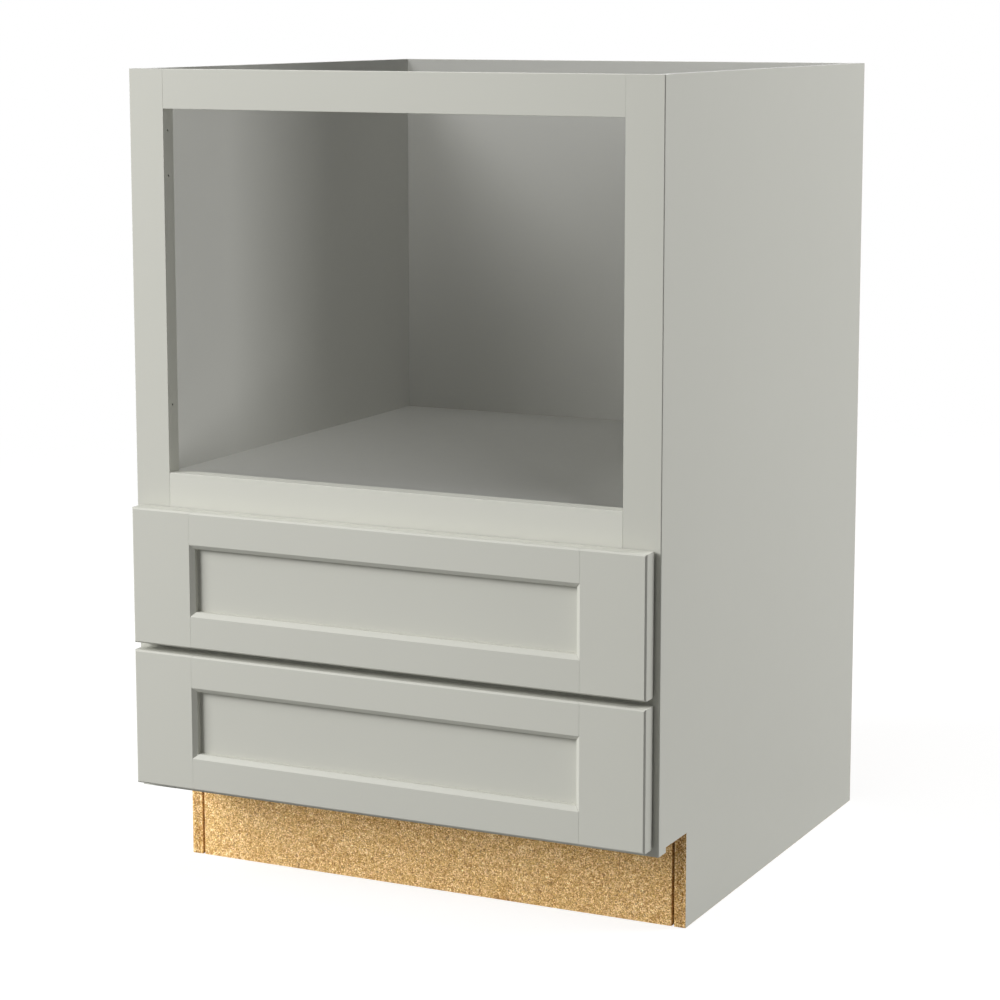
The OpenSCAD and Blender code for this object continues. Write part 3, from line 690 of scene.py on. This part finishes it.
def ring_faces(count, steps, first):
    """Quads between following rings, and a cap at each end, outward for rings that run down their axis."""
    row, step = np.meshgrid(np.arange(count - 1), np.arange(steps), indexing="ij")
    here, ahead = row * steps + step, row * steps + (step + 1) % steps
    quads = np.stack([here, here + steps, ahead + steps, ahead], 2).reshape(-1, 4) + first
    first_cap = np.arange(steps) + first
    last_cap = first_cap[::-1] + (count - 1) * steps
    return quads.tolist() + [first_cap.tolist(), last_cap.tolist()]


def add_piece(name, points, faces, finish, body):
    """A new piece that rides on a body, smooth but for its sharp corners."""
    mesh = bpy.data.meshes.new(name)
    mesh.from_pydata(points, [], faces)
    mesh.materials.append(finish)
    mesh.shade_smooth()
    mesh.set_sharp_from_angle(angle=math.radians(30))
    piece = bpy.data.objects.new(name, mesh)
    bpy.context.scene.collection.objects.link(piece)
    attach(piece, body)
    return piece


def detail_screws(node, body):
    """Puts cross-recess screws where a node's plain ones are, along the same lines and of the same sizes.

    A plain screw's widest points are its head's rim, which tells the head's end, its seat and its radius.
    The shank is the widest of the points that lie further from the seat than the head is high.
    """
    points, faces = [], []
    for solid in islands(node):
        low, high = solid.min(0), solid.max(0)
        along = int(np.argmax(high - low))
        across = [axis for axis in range(3) if axis != along]
        middle = (low + high) / 2
        off = np.linalg.norm((solid - middle)[:, across], axis=1)
        rim = solid[off > 0.9 * off.max(), along]
        end = float(np.sign((rim - middle[along]).mean()))
        tip, top = (low[along], high[along]) if end > 0 else (high[along], low[along])
        seat = rim.min() if end > 0 else rim.max()
        shank = off[np.abs(solid[:, along] - seat) > abs(top - seat) * 1.01].max()
        rings = screw_surface(off.max(), abs(top - seat), shank, abs(tip - seat))
        placed = np.empty_like(rings)
        placed[..., along] = seat + end * rings[..., 2]
        placed[..., across[0]] = middle[across[0]] + rings[..., 0]
        placed[..., across[1]] = middle[across[1]] + rings[..., 1] * end * (-1 if along == 1 else 1)
        faces.extend(ring_faces(len(rings), HEAD_STEPS, len(points)))
        points.extend(placed.reshape(-1, 3).tolist())
    piece = add_piece(node + "_crossed", points, faces, SCREW_STEEL, body)
    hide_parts(node)


def staple_surface(place):
    """A staple's crown: a wire of radius w bent down at both ends, half sunk in a face that looks along +Y.

    Its middle line lies on the face between the places -c/2 and c/2 along X, and its ends go on as a
    quarter turn: c/2 + w sin t along X and w cos t - w along Y, for t from 0 to pi/2.
    """
    turn = np.linspace(0, np.pi / 2, 5)
    reach = np.concatenate([-CROWN / 2 - WIRE * np.sin(turn[::-1]), CROWN / 2 + WIRE * np.sin(turn)])
    depth = np.concatenate([WIRE * np.cos(turn[::-1]), WIRE * np.cos(turn)]) - WIRE
    spin = np.linspace(0, 2 * np.pi, 8, endpoint=False)
    lean = np.gradient(depth, reach)
    lean = lean / np.sqrt(1 + lean ** 2)
    along = reach[:, None] - WIRE * np.cos(spin) * lean[:, None]
    out = depth[:, None] + WIRE * np.cos(spin) * np.sqrt(1 - lean ** 2)[:, None]
    side = np.broadcast_to(WIRE * np.sin(spin), along.shape)
    return np.stack([place[0] + along, place[1] + out, place[2] - side], 2)


def staple_rails():
    """Two rows of staples through each hang rail."""
    points, faces = [], []
    for rail in ("hang_rail_top", "hang_rail_bottom"):
        low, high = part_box(rail)
        for x in np.linspace(low.x + STAPLE_INSET, high.x - STAPLE_INSET, STAPLE_COUNT):
            for z in (low.z + STAPLE_MARGIN, high.z - STAPLE_MARGIN):
                rings = staple_surface((x, high.y, z))
                faces.extend(ring_faces(len(rings), rings.shape[1], len(points)))
                points.extend(rings.reshape(-1, 3).tolist())
    add_piece("hang_rail_staples", points, faces, SCREW_STEEL, "case")


detail_screws("slide_mount_screws", "case")
for level in LEVELS:
    detail_screws(f"{level}_front_screws", f"{level}_drawer")
    detail_screws(f"{level}_slide_screws", f"{level}_drawer")
staple_rails()


# The studio: how far the floor reaches, where its fade to white starts and ends, the glow that brings it
# near white, and the even light on the object
FLOOR_REACH = 12.0
FADE_START = 1.3
FADE_END = 3.2
FLOOR_GLOW = 0.80
AMBIENT = 0.08


def seen_straight(shader):
    """1 for the camera, a reflection or a look through glass, and 0 for light that falls on the object."""
    path = shader.node("LightPath")
    seen = shader.math("MAXIMUM", path.outputs["Is Camera Ray"], path.outputs["Is Glossy Ray"])
    return shader.math("MAXIMUM", seen, path.outputs["Is Transmission Ray"])


def floor_material():
    """A pale floor that keeps the shadow near the object and fades to white further out."""
    material = bpy.data.materials.new("pale_floor")
    material.use_nodes = True
    tree = material.node_tree
    tree.nodes.clear()
    shader = Shader(tree)
    seen = seen_straight(shader)
    matt = shader.node("BsdfDiffuse", {"Color": linear(FLOOR)})
    glow = shader.node("Emission", {"Color": (1, 1, 1, 1), "Strength": shader.times(seen, FLOOR_GLOW)})
    near = shader.node("AddShader", {0: matt.outputs[0], 1: glow.outputs[0]})
    white = shader.node("Emission", {"Color": (1, 1, 1, 1), "Strength": seen})
    away = shader.node("VectorMath", {0: shader.node("TexCoord").outputs["Object"]}, operation="LENGTH")
    fade = shader.spread(away.outputs["Value"], FADE_START, FADE_END, 0.0, 1.0)
    mixed = shader.node("MixShader", {0: fade, 1: near.outputs[0], 2: white.outputs[0]})
    shader.node("OutputMaterial", {"Surface": mixed.outputs[0]})
    return material


def make_floor():
    """A flat square floor."""
    corners = [(-FLOOR_REACH, -FLOOR_REACH, 0), (FLOOR_REACH, -FLOOR_REACH, 0),
               (FLOOR_REACH, FLOOR_REACH, 0), (-FLOOR_REACH, FLOOR_REACH, 0)]
    mesh = bpy.data.meshes.new("studio_floor")
    mesh.from_pydata(corners, [], [(0, 1, 2, 3)])
    mesh.materials.append(floor_material())
    floor = bpy.data.objects.new("studio_floor", mesh)
    bpy.context.scene.collection.objects.link(floor)


def link_light(light, nodes, state):
    """Keeps a lamp's light off some nodes, for the state EXCLUDE, or gives it to them alone, for INCLUDE."""
    group = bpy.data.collections.new(light.name + "_" + state.lower())
    light.light_linking.receiver_collection = group
    for node in nodes:
        group.objects.link(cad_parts[node])
    for entry in group.collection_objects:
        entry.light_linking.link_state = state


def softbox(name, azimuth, rise, distance, size, level, only=(), without=()):
    """A square lamp aimed at the object's middle; level is the irradiance it gives there, over pi.

    Azimuth is in degrees from the front, towards the viewer's right, and rise is in degrees. A square lamp
    of power P gives P / (pi d)^2 at the distance d. Its light reaches only the nodes named in only, or all
    but those named in without.
    """
    middle = np.array([0.0, 0.0, cad_high.z / 2])
    turn, lift = math.radians(azimuth), math.radians(rise)
    way = np.array([math.sin(turn) * math.cos(lift), -math.cos(turn) * math.cos(lift), math.sin(lift)])
    light = bpy.data.lights.new(name, "AREA")
    light.shape = "SQUARE"
    light.size = size
    light.energy = level * (math.pi * distance) ** 2
    lamp = bpy.data.objects.new(name, light)
    lamp.location = middle + way * distance
    lamp.rotation_mode = "QUATERNION"
    lamp.rotation_quaternion = Vector(-way).to_track_quat("-Z", "Y")
    bpy.context.scene.collection.objects.link(lamp)
    if only:
        link_light(lamp, only, "INCLUDE")
    if without:
        link_light(lamp, without, "EXCLUDE")


def make_world():
    """Even dim light on the object, and white where the camera or a reflection sees past it."""
    world = bpy.data.worlds.new("studio")
    bpy.context.scene.world = world
    world.use_nodes = True
    tree = world.node_tree
    tree.nodes.clear()
    shader = Shader(tree)
    strength = shader.plus(shader.times(seen_straight(shader), 1.0 - AMBIENT), AMBIENT)
    sky = shader.node("Background", {"Color": (1, 1, 1, 1), "Strength": strength})
    shader.node("OutputWorld", {"Surface": sky.outputs[0]})


def make_camera():
    """The camera at the photograph's viewing angle."""
    lens = bpy.data.cameras.new("camera")
    lens.lens = CAMERA_LENS
    lens.sensor_width = 36.0
    lens.shift_y = CAMERA_SHIFT
    camera = bpy.data.objects.new("camera", lens)
    camera.location = CAMERA_PLACE
    camera.rotation_euler = (math.radians(90 - CAMERA_DIP), 0.0, math.radians(CAMERA_TURN))
    bpy.context.scene.collection.objects.link(camera)
    bpy.context.scene.camera = camera


INNER = ["appliance_deck", "back_panel"]
SIDE_PANELS = ["side_panel_left", "side_panel_right"]
FRONT_EDGES = [f"{level}_front_{member}" for level in LEVELS
               for member in ("rail_top", "stile_left", "stile_right")]

make_floor()
softbox("key_softbox", azimuth=-44, rise=27, distance=5.5, size=3.2, level=1.12, without=INNER)
softbox("side_softbox", azimuth=129, rise=27, distance=6.5, size=3.4, level=0.86,
        without=["side_panel_left", "appliance_deck", "stile_left"])
softbox("top_softbox", azimuth=0, rise=80, distance=4.0, size=2.4, level=0.14, without=SIDE_PANELS + INNER)
softbox("front_top_softbox", azimuth=-10, rise=82, distance=4.0, size=2.4, level=0.09, only=FRONT_EDGES)
softbox("stile_softbox", azimuth=80, rise=5, distance=3.0, size=1.0, level=0.18, only=["stile_left"])
softbox("rail_softbox", azimuth=-20, rise=12, distance=4.0, size=2.0, level=0.09, only=["opening_rail"])
softbox("wall_softbox", azimuth=61, rise=0, distance=3.0, size=0.85, level=0.38, only=["side_panel_left"])
softbox("inner_softbox", azimuth=60, rise=20, distance=4.0, size=2.2, level=0.56, only=INNER)
softbox("inner_top_softbox", azimuth=85, rise=52, distance=4.0, size=2.2, level=0.2, only=INNER)
softbox("back_softbox", azimuth=-60, rise=52, distance=4.0, size=2.2, level=0.54, only=["back_panel"])
softbox("toe_softbox", azimuth=-24, rise=-2, distance=2.0, size=1.1, level=0.51, only=["toe_kick_board"])
softbox("foot_softbox", azimuth=-42, rise=3, distance=4.0, size=2.0, level=0.55, only=SIDE_PANELS)
make_world()
make_camera()
bpy.context.scene.view_settings.view_transform = "Standard"
